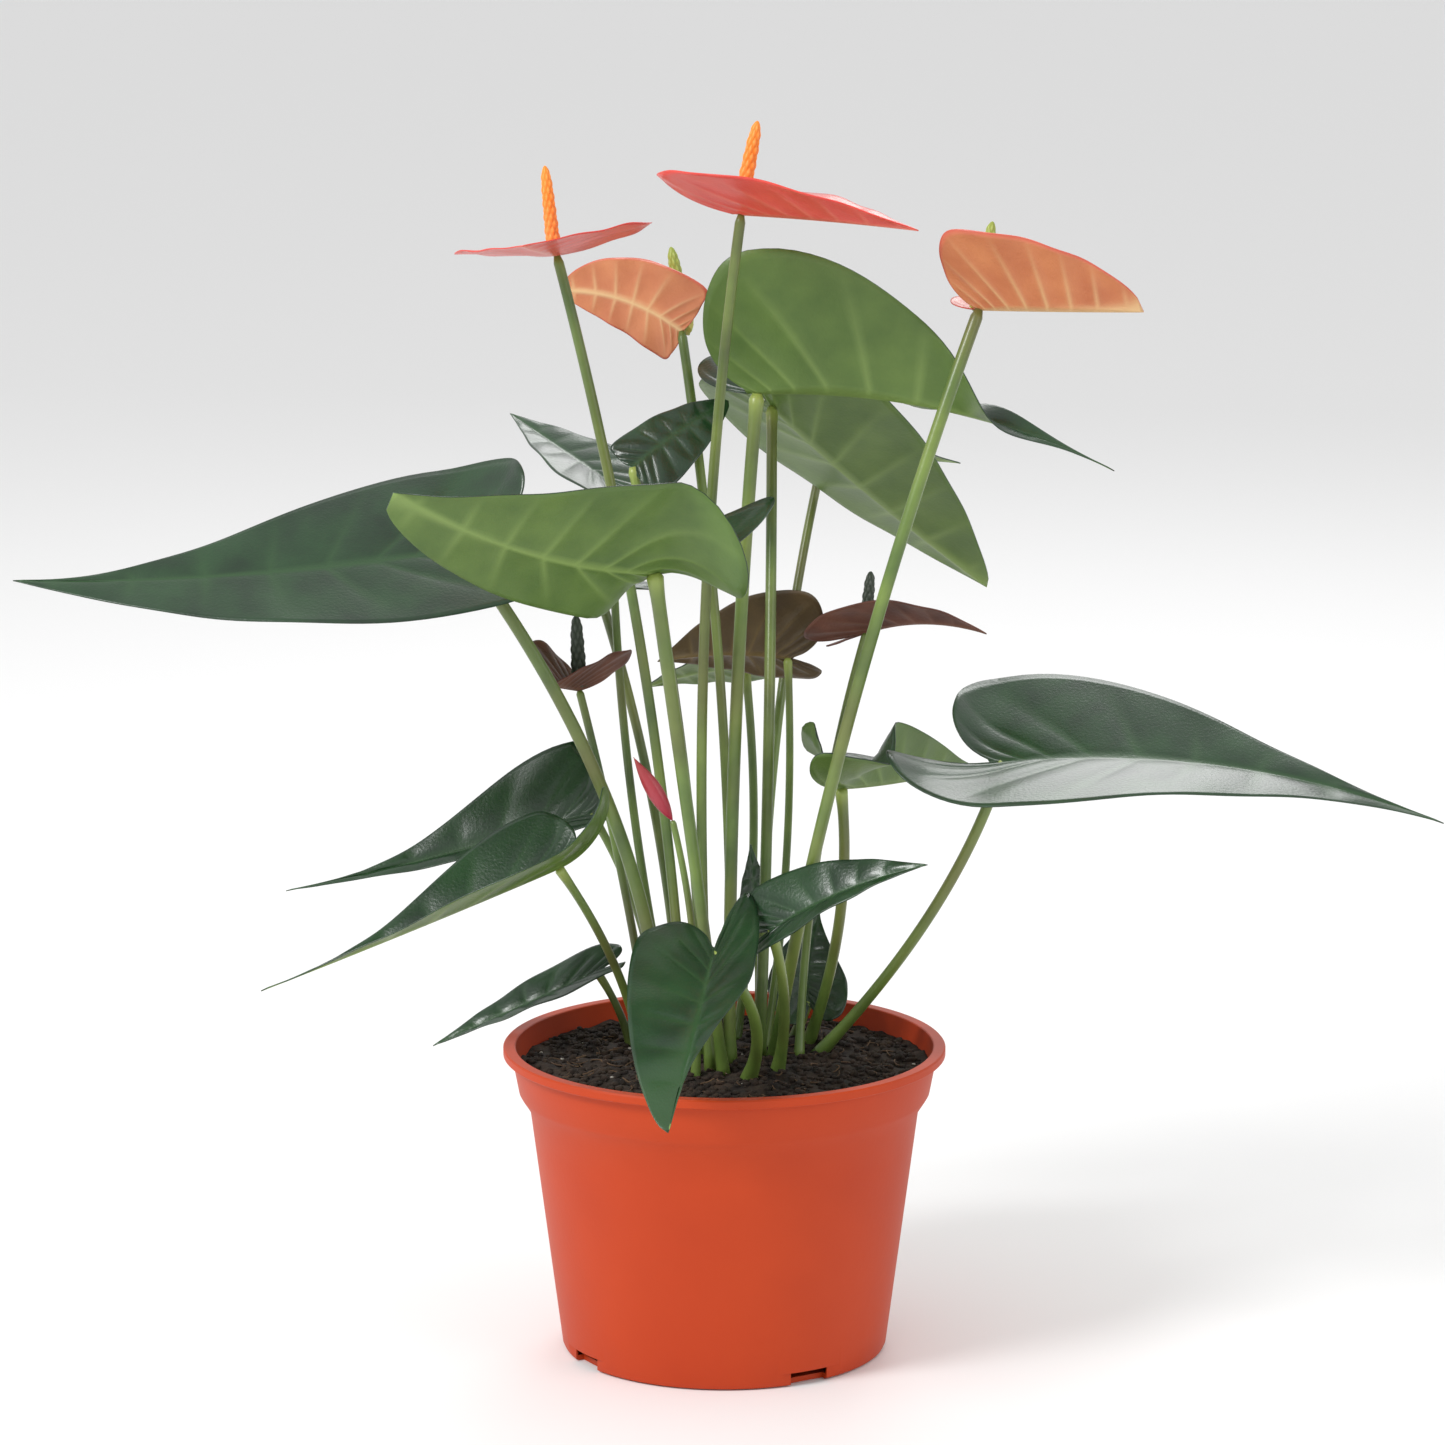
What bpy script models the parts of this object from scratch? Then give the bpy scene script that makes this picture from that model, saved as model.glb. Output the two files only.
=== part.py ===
"""Potted anthurium: an orange nursery pot, its potting mix, and the plant's leaves and flowers.

Frame: +Z up, the pot stands on z = 0 with its axis on Z, and the plant's front looks along -Y.
Lengths and places below are in millimetres, and MM turns them into metres.
"""

import math

import bmesh
import bpy
import numpy as np

MM = 0.001

# Pot: a thin moulded nursery pot, radii and heights in millimetres.
POT_HEIGHT = 115.7
RIM_RADIUS = 82.5
LIP_HEIGHT = 3.4
COLLAR_TOP_RADIUS = 79.2
COLLAR_FOOT_RADIUS = 76.7
COLLAR_FOOT_HEIGHT = 98.5
BODY_TOP_RADIUS = 72.6
BODY_TOP_HEIGHT = 92.0
BASE_RADIUS = 60.6
WALL = 1.3
FLOOR = 2.0
POT_SEGMENTS = 64
DRAIN_COUNT = 4
DRAIN_TURN = -58.7          # degrees round from +X to the first drain hole
DRAIN_WIDTH = 15.6
DRAIN_HEIGHT = 5.2
RECESS_WIDTH = 35.7
RECESS_DEPTH = 0.5

# Potting mix: a low mound inside the pot, and the top of the root ball at the back right.
SOIL_EDGE_HEIGHT = 107.5
SOIL_CENTRE_RISE = 2.5
ROOT_BALL = (34.0, 34.0)
ROOT_BALL_RADIUS = 22.0
ROOT_BALL_RISE = 4.0
SOIL_GAP = 0.4              # between the mix and the pot
STEM_GAP = 2.0              # between a stem's foot and the mix
JOINT_GAP = 4.8             # between a stem's top and the blade it carries, along the stem

# A blade's half outline, from the notch round the lobe to the tip. The first number runs along the
# midrib, with the joint at 0 and the tip at 1, and the second across it, with 1 at the widest place.
HALF_HEART = [(-.04, 0), (-.20, .16), (-.29, .40), (-.26, .70), (-.13, .93), (.05, 1),
              (.24, .94), (.46, .74), (.68, .46), (.86, .19), (1, 0)]
LOBE_REACH = .29
RIB_STEPS = 60
STEM_POINTS = 9
BLADE_RAYS = 11
BLADE_STEPS = 3
BLADE_THICKNESS = 0.8
SPATHE_THICKNESS = 1.0

LEAF_GREEN = (.020, .085, .030)
YOUNG_BRONZE = (.10, .065, .030)
STEM_GREEN = (.12, .22, .045)


class Blade:
    """A leaf blade or a spathe. Its midrib starts at the joint, in millimetres, and runs length mm. Its
    heading is in degrees round from +X towards +Y and its slope in degrees above level, at the joint,
    and by the tip it has veered and drooped by these degrees. Where a value is a pair, it is the left
    and the right half's, seen from the joint towards the tip with the upper face up."""

    def __init__(self, joint, heading, slope, length, face, width, veer=0, droop=0, face_tip=None,
                 turn=(0, 1), lobe=1, taper=1, fold=0, curl=0, lift=0, relax=0):
        self.joint = joint
        self.heading = heading
        self.slope = slope
        self.length = length
        self.veer = veer
        self.droop = droop
        self.face = face                      # where the upper face looks at the joint
        self.face_tip = face_tip or face      # and at the tip
        self.turn = turn                      # the stretch of midrib along which it turns
        self.width = pair(width)              # full width over the midrib's length
        self.lobe = pair(lobe)                # reach of the basal lobes, 1 as in the outline
        self.taper = pair(taper)              # above 1 for a slimmer blade, below 1 for a fuller one
        self.fold = pair(fold)                # rise of each half from the midrib, in degrees
        self.curl = pair(curl)                # more rise from midrib to margin
        self.lift = pair(lift)                # rise of the lobes behind the joint
        self.relax = relax                    # how far the fold opens out towards the tip


def pair(value):
    return value if isinstance(value, tuple) else (value, value)


LEAVES = {
    "leaf_01": Blade((-95, -20, 306), 193, -7, 163, veer=-13, droop=-8, face=(0, -.6, .8),
                     width=(.47, .5), taper=(.95, 2), lobe=(.8, .7), fold=5, curl=(10, -10),
                     lift=(10, 60)),
    "leaf_02": Blade((-25, -55, 303), 221, 7, 118, veer=-10, droop=-25, face=(.1, -.4, .95),
                     face_tip=(-.2, .8, .5), turn=(-.25, .15), width=(.75, .4), taper=(1, .35),
                     lobe=(.5, 1.8), lift=(0, 50)),
    "leaf_03": Blade((-48, 68, 276), 180, 0, 80, face=(0, .1, 1), width=.6, fold=5),
    "leaf_04": Blade((-42, 40, 321), 124, 14, 74, face=(-.2, .2, 1), width=.5, fold=10),
    "leaf_05": Blade((-34, 20, 330), 24, 37, 45, droop=14, face=(-.3, -.8, .4), width=(.55, .7),
                     lobe=.1, taper=.6, fold=(0, -10)),
    "leaf_06": Blade((12, 15, 358), -4, 3, 136, veer=4, droop=30, face=(0, .95, .3),
                     face_tip=(.3, -.4, .9), turn=(.4, .8), width=(.5, .85), lobe=(1, .45),
                     taper=(2, 2.4), fold=(100, 0), lift=(60, 0), relax=.9),
    "leaf_07": Blade((18, 80, 344), 38, -40, 124, veer=-18, droop=-3, face=(.4, .8, .5),
                     width=(.6, .75), lobe=(.5, 1), taper=(1, .7), fold=(20, 0)),
    "leaf_08": Blade((102, -20, 227), -10, 8, 163, droop=28, face=(0, -.4, .9), width=(.6, .55),
                     lobe=(.5, 1), taper=(2.2, 1.2), fold=(5, 14), lift=(60, 50)),
    "leaf_09": Blade((43, -5, 214), 47, -6, 75, droop=-8, face=(-.1, -.6, .8),
                     face_tip=(0, .3, .95), turn=(-.1, .2), width=.8, lobe=(.6, 1.9),
                     fold=(30, 50), lift=(60, 40)),
    "leaf_10": Blade((-50, 35, 196), 171, -19, 120, veer=17, droop=-9, face=(0, -.2, 1),
                     width=(.15, .5), lobe=(.3, .4), taper=(1, 3), fold=(-10, 50), lift=(0, 40)),
    "leaf_11": Blade((-61, -15, 186), 188, -22, 118, veer=5, droop=-3, face=(0, 0, 1), width=.45,
                     lobe=(1.2, .4), taper=(2, 3), fold=(25, 45), lift=(70, 20)),
    "leaf_12": Blade((-48, 25, 137), 180, -25, 68, veer=7, droop=-2, face=(0, -.2, 1),
                     width=(.3, .36), lobe=.6, fold=(10, 25)),
    "leaf_13": Blade((-4, -62, 165), 261, -25, 89, veer=-6, droop=13, face=(0, -.6, .8),
                     width=(.35, .65), lobe=(1.4, .6), taper=(3, .6)),
    "leaf_14": Blade((17, -42, 169), -24, 36, 67, veer=6, droop=20, face=(.2, -.5, .8),
                     width=(.55, .3), lobe=(.5, .8), fold=(20, 10)),
    "leaf_15": Blade((12, 24, 154), 112, 80, 32, face=(.5, -.8, 0), width=.5, lobe=.2),
    "leaf_16": Blade((32, 35, 123), 100, 40, 40, veer=-40, droop=-12, face=(0, -.7, .6), width=.8,
                     fold=20),
    "leaf_17": Blade((8, 78, 244), 164, -6, 42, droop=16, face=(0, .5, .8), width=.7),
    "leaf_18": Blade((40, 142, 322), 36, -12, 64, veer=-11, face=(0, .3, .9), width=.5),
    "leaf_19": Blade((24, 59, 251), 188, 10, 50, droop=20, face=(0, .9, .35), width=(1.2, .5),
                     lobe=(.7, 1), fold=(0, 20)),
}

RED = (.60, .075, .050)
ORANGE_GREEN = (.55, .19, .070)
OLD_BROWN = (.13, .040, .022)

SPATHES = {
    "flower_1": (RED, Blade((-61, 5, 410), 259, 8, 44, veer=-8, droop=-5, face=(-.3, .3, .95),
                            width=1.7, lobe=1.2, fold=(0, 20))),
    "flower_2": (RED, Blade((6, -25, 428), -35, 1, 72, veer=10, droop=5, face=(0, .2, 1),
                            width=(.9, 1), lobe=1.3, lift=(25, 20), fold=20)),
    "flower_3": (ORANGE_GREEN, Blade((91, -35, 395), -27, 2, 62, veer=8, face=(-.1, .8, .5),
                                     width=(1.1, 1.25), lobe=(1.3, .45), taper=(1, .5),
                                     fold=(50, 0), lift=(30, 0))),
    "flower_4": (ORANGE_GREEN, Blade((-16, 55, 376), 162, 36, 50, droop=40, face=(.4, .8, .2),
                                     width=(.85, .6), lobe=.1, taper=.5)),
    "flower_5": (OLD_BROWN, Blade((-54, 20, 246), 240, 14, 24, veer=8, face=(0, 0, 1), width=2.2,
                                  fold=40)),
    "flower_6": (OLD_BROWN, Blade((53, 35, 265), -24, 22, 48, veer=10, droop=38, face=(0, .2, 1),
                                  width=.8, lobe=1.5, fold=(10, 30))),
}

# Each stem: its radii at the top and the foot, where its foot stands in the mix, and how far its
# middle bows out of the straight line to the joint, as (x, y).
LEAF_STEMS = {
    "leaf_01": ((2.3, 2.6), (-22, -2), (17, 0)),
    "leaf_02": ((2.6, 2.0), (0, -18), (0, 3)),
    "leaf_03": ((1.8, 1.8), (-16, 34), (6, 0)),
    "leaf_04": ((1.5, 1.7), (-18, 26), (-6, 0)),
    "leaf_05": ((1.6, 1.8), (-8, 8), (6, 0)),
    "leaf_06": ((2.4, 2.3), (2, -6), (-3, -4)),
    "leaf_07": ((2.0, 2.2), (13, 6), (1, -22)),
    "leaf_08": ((2.0, 2.1), (34, 17), (9, 0)),
    "leaf_09": ((2.0, 2.1), (31, 25), (6, 0)),
    "leaf_10": ((1.5, 1.6), (-26, 13), (8, 0)),
    "leaf_11": ((1.6, 1.7), (-31, 17), (5, 0)),
    "leaf_12": ((1.4, 1.5), (-35, 26), (2, 0)),
    "leaf_13": ((1.8, 2.4), (8, -22), (9, 0)),
    "leaf_14": ((1.8, 2.2), (19, -14), (4, 0)),
    "leaf_15": ((1.4, 1.6), (12, 26), (1, 0)),
    "leaf_16": ((1.5, 1.7), (26, 34), (0, 0)),
    "leaf_17": ((1.6, 1.7), (4, 36), (5, 0)),
    "leaf_18": ((1.7, 1.9), (14, 40), (-7, 0)),
    "leaf_19": ((1.4, 1.6), (15, 20), (4, 0)),
}
FLOWER_STEMS = {
    "flower_1": ((1.9, 1.9), (-14, -8), (8, 0)),
    "flower_2": ((1.9, 1.9), (-5, -14), (-8, 13)),
    "flower_3": ((2.3, 2.3), (18, 3), (-9, -30)),
    "flower_4": ((1.8, 1.8), (2, 8), (6, -14)),
    "flower_5": ((1.5, 1.6), (-26, 3), (2, 0)),
    "flower_6": ((1.5, 1.6), (28, 10), (-5, 6)),
}

# Each spadix stands over its spathe's joint, on the upper face: colour, length, greatest radius, and
# its lean as (x, y).
ORANGE = (.80, .30, .020)
YELLOW_GREEN = (.38, .42, .050)
DARK_GREEN = (.015, .040, .015)
SPADIX_GAP = 4.5
SPADICES = {
    "flower_1": (ORANGE, 29, 2.7, (-.1, -.05)),
    "flower_2": (ORANGE, 30, 3.0, (.2, -.05)),
    "flower_3": (YELLOW_GREEN, 30, 3.0, (.2, .3)),
    "flower_4": (YELLOW_GREEN, 31, 3.0, (-.2, .1)),
    "flower_5": (DARK_GREEN, 24, 3.0, (-.05, .1)),
    "flower_6": (DARK_GREEN, 19, 2.6, (.1, .2)),
}

BUD_COLOUR = (.42, .022, .045)
BUD_FOOT = (-19, -20, 205)
BUD_LEAN = (-.6, 0)
BUD_LENGTH = 28
BUD_RADIUS = 3.3
BUD_STEM = ((1.2, 1.5), (-11, -23), (4, 0))

POT_COLOUR = (.52, .050, .012)
SOIL_COLOUR = (.020, .012, .007)


def clear_scene():
    for thing in list(bpy.data.objects):
        bpy.data.objects.remove(thing)


def new_collection(name, shown=True):
    collection = bpy.data.collections.new(name)
    bpy.context.scene.collection.children.link(collection)
    collection.hide_render = not shown
    return collection


def material(name, colour, roughness):
    made = bpy.data.materials.new(name)
    made.use_nodes = True
    shader = made.node_tree.nodes["Principled BSDF"]
    shader.inputs["Base Color"].default_value = (*colour, 1)
    shader.inputs["Roughness"].default_value = roughness
    shader.inputs["Metallic"].default_value = 0
    return made


def add_object(name, data, collection, look=None):
    thing = bpy.data.objects.new(name, data)
    collection.objects.link(thing)
    if look:
        data.materials.append(look)
    return thing


def smooth(mesh, angle=40):
    mesh.shade_smooth()
    mesh.set_sharp_from_angle(angle=math.radians(angle))


def unit(vectors):
    return vectors / np.linalg.norm(vectors, axis=-1, keepdims=True)


def smooth_path(points, count):
    """A smooth curve through the points, as count points evenly spaced along it, and its length."""
    points = np.asarray(points, float)
    ends = np.vstack([2 * points[0] - points[1], points, 2 * points[-1] - points[-2]])
    t = np.linspace(0, 1, 24, endpoint=False)[:, None]
    pieces = []
    for a, b, c, d in zip(ends, ends[1:], ends[2:], ends[3:]):
        pieces.append(.5 * (2 * b + (c - a) * t + (2 * a - 5 * b + 4 * c - d) * t ** 2
                            + (3 * b - a - 3 * c + d) * t ** 3))
    dense = np.vstack(pieces + [points[-1:]])
    run = np.concatenate([[0], np.cumsum(np.linalg.norm(np.diff(dense, axis=0), axis=1))])
    at = np.linspace(0, run[-1], count)
    return np.stack([np.interp(at, run, axis) for axis in dense.T], 1), run[-1]


def sample(curve, along):
    at = np.linspace(0, 1, len(curve))
    return np.stack([np.interp(along, at, axis) for axis in curve.T], 1)


def midrib(blade):
    """The midrib's points and unit directions, evenly spaced from the joint to the tip, in millimetres."""
    along = np.linspace(0, 1, RIB_STEPS + 1)
    heading = np.radians(blade.heading + blade.veer * along)
    slope = np.radians(blade.slope - blade.droop * along)
    level = np.cos(slope)
    directions = np.stack([level * np.cos(heading), level * np.sin(heading), np.sin(slope)], 1)
    steps = (directions[1:] + directions[:-1]) / 2 * blade.length / RIB_STEPS
    points = np.vstack([np.zeros(3), np.cumsum(steps, axis=0)]) + np.array(blade.joint)
    return points, directions


def half_outline(blade, side, rays):
    """One half's margin as (along, across) pairs from the notch to the tip."""
    heart = [(along * (blade.lobe[side] if along < 0 else 1), across) for along, across in HALF_HEART]
    edge, _ = smooth_path(heart, rays)
    across = np.clip(edge[:, 1], 0, 1.05)
    edge[:, 1] = np.where(edge[:, 0] > .05, across ** blade.taper[side], across)
    return edge


def blade_points(blade, rays, steps):
    """The blade's middle surface, in metres: for each half, rays x (steps + 1) points from the midrib
    to the margin. Each half is a fan of rays that leave the midrib and end on the margin."""
    rib, tangents = midrib(blade)
    length = blade.length
    start, end = blade.turn
    leaving = np.linspace(0, 1, rays) ** 1.7
    halves = []
    for side, sign in ((0, -1), (1, 1)):
        edge = half_outline(blade, side, rays)
        half_width = blade.width[side] / 2
        fold, curl, lift = (math.radians(angle[side]) for angle in (blade.fold, blade.curl, blade.lift))
        bend = lift / (LOBE_REACH * blade.lobe[side])
        grid = np.zeros((rays, steps + 1, 3))
        for step in range(steps + 1):
            out = step / steps
            along = (1 - out) * leaving + out * edge[:, 0]
            across = out * edge[:, 1] * half_width
            on_rib = np.clip(along, 0, 1)
            behind = np.clip(-along, 0, None)
            place = sample(rib, on_rib)
            tangent = unit(sample(tangents, on_rib))
            share = np.clip((along - start) / (end - start), 0, 1)
            share = (share * share * (3 - 2 * share))[:, None]
            face = (1 - share) * np.array(blade.face) + share * np.array(blade.face_tip)
            normal = unit(face - (face * tangent).sum(1, keepdims=True) * tangent)
            sideways = np.cross(tangent, normal)
            angle = bend * behind
            back = np.sin(angle) / bend if bend else behind
            rise = (1 - np.cos(angle)) / bend if bend else 0 * behind
            place = place + length * (rise[:, None] * normal - back[:, None] * tangent)
            normal = np.cos(angle)[:, None] * normal + np.sin(angle)[:, None] * tangent
            first = fold * (1 - blade.relax * on_rib)
            last = first + curl * across / half_width
            if curl:
                wide = half_width / curl * (np.sin(last) - np.sin(first))
                high = half_width / curl * (np.cos(first) - np.cos(last))
            else:
                wide = across * np.cos(first)
                high = across * np.sin(first)
            grid[:, step] = place + length * (sign * wide[:, None] * sideways + high[:, None] * normal)
        halves.append(grid * MM)
    return halves


def add_blade(name, blade, colour, thickness, collection):
    """A sheet lofted over the blade's rays, with Solidify."""
    left, right = blade_points(blade, BLADE_RAYS, BLADE_STEPS)
    shape = bmesh.new()
    rib = [shape.verts.new(point) for point in left[:, 0]]
    notch = [rib[0]] + [shape.verts.new(point) for point in (left[0, 1:] + right[0, 1:]) / 2]
    for grid, flip in ((left, True), (right, False)):
        rows = [notch]
        for ray in range(1, BLADE_RAYS - 1):
            rows.append([rib[ray]] + [shape.verts.new(point) for point in grid[ray, 1:]])
        rows.append([rib[-1]] * (BLADE_STEPS + 1))
        for near, far in zip(rows, rows[1:]):
            for step in range(BLADE_STEPS):
                corners = [near[step], near[step + 1], far[step + 1], far[step]]
                corners = list(dict.fromkeys(corners))
                shape.faces.new(corners[::-1] if flip else corners)
    mesh = bpy.data.meshes.new(name)
    shape.to_mesh(mesh)
    shape.free()
    smooth(mesh)
    sheet = add_object(name, mesh, collection, material(name, colour, .35))
    solid = sheet.modifiers.new("thickness", "SOLIDIFY")
    solid.thickness = thickness * MM
    solid.offset = 0
    return sheet


def ground(x, y):
    """Height of the potting mix, in millimetres."""
    middle = SOIL_CENTRE_RISE * math.exp(-(x * x + y * y) / 35 ** 2)
    near = math.hypot(x - ROOT_BALL[0], y - ROOT_BALL[1]) / ROOT_BALL_RADIUS
    ball = ROOT_BALL_RISE * math.cos(math.pi / 2 * near) ** 2 if near < 1 else 0
    return SOIL_EDGE_HEIGHT + middle + ball


def stem_path(joint, foot, bow, gap):
    """A stem's line from just under its joint down to the mix: one quadratic curve."""
    joint = np.array(joint, float)
    foot = np.array([*foot, ground(*foot) + STEM_GAP])
    middle = (joint + foot) / 2 + 2 * np.array([*bow, 0])
    start = gap / np.linalg.norm(joint - foot)
    t = np.linspace(start, 1, STEM_POINTS)[:, None]
    return (1 - t) ** 2 * joint + 2 * t * (1 - t) * middle + t ** 2 * foot


def tube(name, path, radii, colour, collection):
    """A stem: a POLY curve with a round bevel and a radius at each point."""
    curve = bpy.data.curves.new(name, "CURVE")
    curve.dimensions = "3D"
    curve.bevel_depth = MM
    curve.bevel_resolution = 1
    curve.use_fill_caps = True
    spline = curve.splines.new("POLY")
    spline.points.add(len(path) - 1)
    for point, place, radius in zip(spline.points, path, radii):
        point.co = (*(np.array(place) * MM), 1)
        point.radius = radius
    return add_object(name, curve, collection, material(name, colour, .45))


def add_stem(name, joint, stem, collection, gap=JOINT_GAP):
    radii, foot, bow = stem
    path = stem_path(joint, foot, bow, gap)
    return tube(name, path, np.linspace(*radii, len(path)), STEM_GREEN, collection)


def turned(name, profile, colour, roughness, collection, segments):
    """A closed turned shape: the profile runs from the axis, down its outer side, back to the axis."""
    mesh = bpy.data.meshes.new(name)
    edges = [(k, k + 1) for k in range(len(profile) - 1)]
    mesh.from_pydata([(r * MM, 0, z * MM) for r, z in profile], edges, [])
    body = add_object(name, mesh, collection, material(name, colour, roughness))
    screw = body.modifiers.new("turn", "SCREW")
    screw.steps = screw.render_steps = segments
    screw.use_merge_vertices = True
    screw.merge_threshold = .00001
    screw.use_smooth_shade = True
    return body


def stand(thing, foot, lean):
    """Stands a shape turned about Z on foot, leaning by these amounts in x and y for each 1 of rise."""
    axis = unit(np.array([*lean, 1.0]))
    thing.location = np.array(foot) * MM
    thing.rotation_euler = (0, math.acos(axis[2]), math.atan2(axis[1], axis[0]))


def add_spadix(name, spathe, spec, collection):
    colour, length, radius, lean = spec
    steps = 8
    profile = [(0, length)]
    for k in range(1, steps):
        a = k / steps
        profile.append((radius * (1 - (1 - a) ** 3) ** .5 * (1 - .15 * a ** 3), length * (1 - a ** 1.6)))
    profile += [(radius * .8, 0), (0, 0)]
    spadix = turned(name, profile, colour, .5, collection, 12)
    foot = np.array(spathe.joint) + SPADIX_GAP * unit(np.array(spathe.face))
    stand(spadix, foot, lean)


def add_bud(name, collection):
    profile = [(0, BUD_LENGTH)]
    for a in (.12, .3, .5, .68, .85):
        profile.append((BUD_RADIUS * math.sin(math.pi * a ** 1.2) ** .8, BUD_LENGTH * (1 - a)))
    profile += [(.8, 0), (0, 0)]
    bud = turned(name, profile, BUD_COLOUR, .4, collection, 12)
    stand(bud, BUD_FOOT, BUD_LEAN)


def pot_profile():
    inner_base = BASE_RADIUS - WALL
    slope = (BODY_TOP_RADIUS - BASE_RADIUS) / BODY_TOP_HEIGHT
    return [
        (0, FLOOR), (inner_base + slope * FLOOR, FLOOR),
        (BODY_TOP_RADIUS - WALL, BODY_TOP_HEIGHT), (COLLAR_FOOT_RADIUS - WALL, COLLAR_FOOT_HEIGHT),
        (COLLAR_TOP_RADIUS - WALL, POT_HEIGHT - .3), (COLLAR_TOP_RADIUS - WALL + .4, POT_HEIGHT),
        (RIM_RADIUS - .5, POT_HEIGHT), (RIM_RADIUS, POT_HEIGHT - .6),
        (RIM_RADIUS, POT_HEIGHT - LIP_HEIGHT + .4), (RIM_RADIUS - .4, POT_HEIGHT - LIP_HEIGHT),
        (COLLAR_TOP_RADIUS, POT_HEIGHT - LIP_HEIGHT - .8), (COLLAR_FOOT_RADIUS, COLLAR_FOOT_HEIGHT),
        (COLLAR_FOOT_RADIUS - .9, COLLAR_FOOT_HEIGHT - 1.6), (BODY_TOP_RADIUS, BODY_TOP_HEIGHT),
        (BASE_RADIUS + .3, 2), (BASE_RADIUS - .4, .5), (BASE_RADIUS - 1.6, 0), (0, 0),
    ]


def add_pot(collection, cutters):
    pot = turned("pot", pot_profile(), POT_COLOUR, .45, collection, POT_SEGMENTS)
    for index in range(DRAIN_COUNT):
        angle = math.radians(DRAIN_TURN + index * 360 / DRAIN_COUNT)
        sizes = {
            "recess": (RECESS_DEPTH + 4, RECESS_WIDTH, BASE_RADIUS - RECESS_DEPTH + 2),
            "drain": (8, DRAIN_WIDTH, BASE_RADIUS),
        }
        for kind, (depth, wide, middle) in sizes.items():
            name = f"{kind}_cutter_{index + 1}"
            bpy.ops.mesh.primitive_cube_add(size=1)
            cutter = bpy.context.active_object
            cutter.name = name
            for owner in list(cutter.users_collection):
                owner.objects.unlink(cutter)
            cutters.objects.link(cutter)
            cutter.scale = (depth * MM, wide * MM, 2 * DRAIN_HEIGHT * MM)
            cutter.location = (middle * math.cos(angle) * MM, middle * math.sin(angle) * MM, 0)
            cutter.rotation_euler = (0, 0, angle)
            cutter.hide_render = True
            cutter.display_type = "WIRE"
            cut = pot.modifiers.new(name, "BOOLEAN")
            cut.object = cutter
            cut.operation = "DIFFERENCE"


def add_soil(collection):
    """The mix fills the pot: a turned solid whose top is then raised to the mound."""
    inner_base = BASE_RADIUS - WALL - SOIL_GAP
    slope = (BODY_TOP_RADIUS - BASE_RADIUS) / BODY_TOP_HEIGHT
    low = FLOOR + SOIL_GAP
    rim = COLLAR_TOP_RADIUS - WALL - SOIL_GAP
    collar_slope = (COLLAR_TOP_RADIUS - COLLAR_FOOT_RADIUS) / (POT_HEIGHT - COLLAR_FOOT_HEIGHT)
    edge = rim - collar_slope * (POT_HEIGHT - SOIL_EDGE_HEIGHT)
    rings = 9
    profile = [(edge * k / rings, SOIL_EDGE_HEIGHT) for k in range(rings + 1)]
    profile += [(COLLAR_FOOT_RADIUS - WALL - SOIL_GAP, COLLAR_FOOT_HEIGHT + .3),
                (BODY_TOP_RADIUS - WALL - SOIL_GAP, BODY_TOP_HEIGHT),
                (inner_base + slope * low, low), (0, low)]
    blank = turned("soil_blank", profile, SOIL_COLOUR, .95, collection, 40)
    bpy.context.view_layer.update()
    graph = bpy.context.evaluated_depsgraph_get()
    mesh = bpy.data.meshes.new_from_object(blank.evaluated_get(graph))
    mesh.name = "soil"
    bpy.data.objects.remove(blank)
    for vertex in mesh.vertices:
        if vertex.co.z > (SOIL_EDGE_HEIGHT - .1) * MM:
            vertex.co.z = ground(vertex.co.x / MM, vertex.co.y / MM) * MM
    add_object("soil", mesh, collection)


def main():
    clear_scene()
    plant = new_collection("potted_anthurium")
    cutters = new_collection("cutters", shown=False)
    add_pot(plant, cutters)
    add_soil(plant)
    for name, blade in LEAVES.items():
        colour = YOUNG_BRONZE if name == "leaf_19" else LEAF_GREEN
        add_blade(name + "_blade", blade, colour, BLADE_THICKNESS, plant)
        add_stem(name + "_petiole", blade.joint, LEAF_STEMS[name], plant)
    for name, (colour, blade) in SPATHES.items():
        add_blade(name + "_spathe", blade, colour, SPATHE_THICKNESS, plant)
        add_stem(name + "_stem", blade.joint, FLOWER_STEMS[name], plant)
        add_spadix(name + "_spadix", blade, SPADICES[name], plant)
    add_bud("flower_bud", plant)
    add_stem("flower_bud_stem", BUD_FOOT, BUD_STEM, plant, gap=1)


main()
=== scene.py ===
"""Potted anthurium, the finished look: leaves quilted between their veins, waxy spathes, beaded
spadices, a moulded pot and loose potting mix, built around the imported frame.

The design values and curve formulas are the part's own, so each piece lies on its CAD node.
Lengths and places are in millimetres, except on the stage, and MM turns them into metres.
"""

import math

import bpy
import numpy as np
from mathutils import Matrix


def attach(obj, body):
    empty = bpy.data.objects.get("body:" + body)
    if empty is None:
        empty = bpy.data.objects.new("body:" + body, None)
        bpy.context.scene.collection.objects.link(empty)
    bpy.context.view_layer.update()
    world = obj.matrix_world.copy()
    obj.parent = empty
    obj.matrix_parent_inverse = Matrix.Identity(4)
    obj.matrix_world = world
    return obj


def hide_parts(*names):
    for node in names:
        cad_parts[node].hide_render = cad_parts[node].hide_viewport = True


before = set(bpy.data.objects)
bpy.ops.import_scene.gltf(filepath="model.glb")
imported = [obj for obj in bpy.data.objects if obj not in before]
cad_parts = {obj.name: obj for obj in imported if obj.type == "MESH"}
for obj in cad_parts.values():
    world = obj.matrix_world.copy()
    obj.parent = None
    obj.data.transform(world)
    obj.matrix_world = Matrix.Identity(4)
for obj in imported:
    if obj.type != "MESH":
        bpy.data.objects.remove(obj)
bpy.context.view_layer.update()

MM = 0.001

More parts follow.
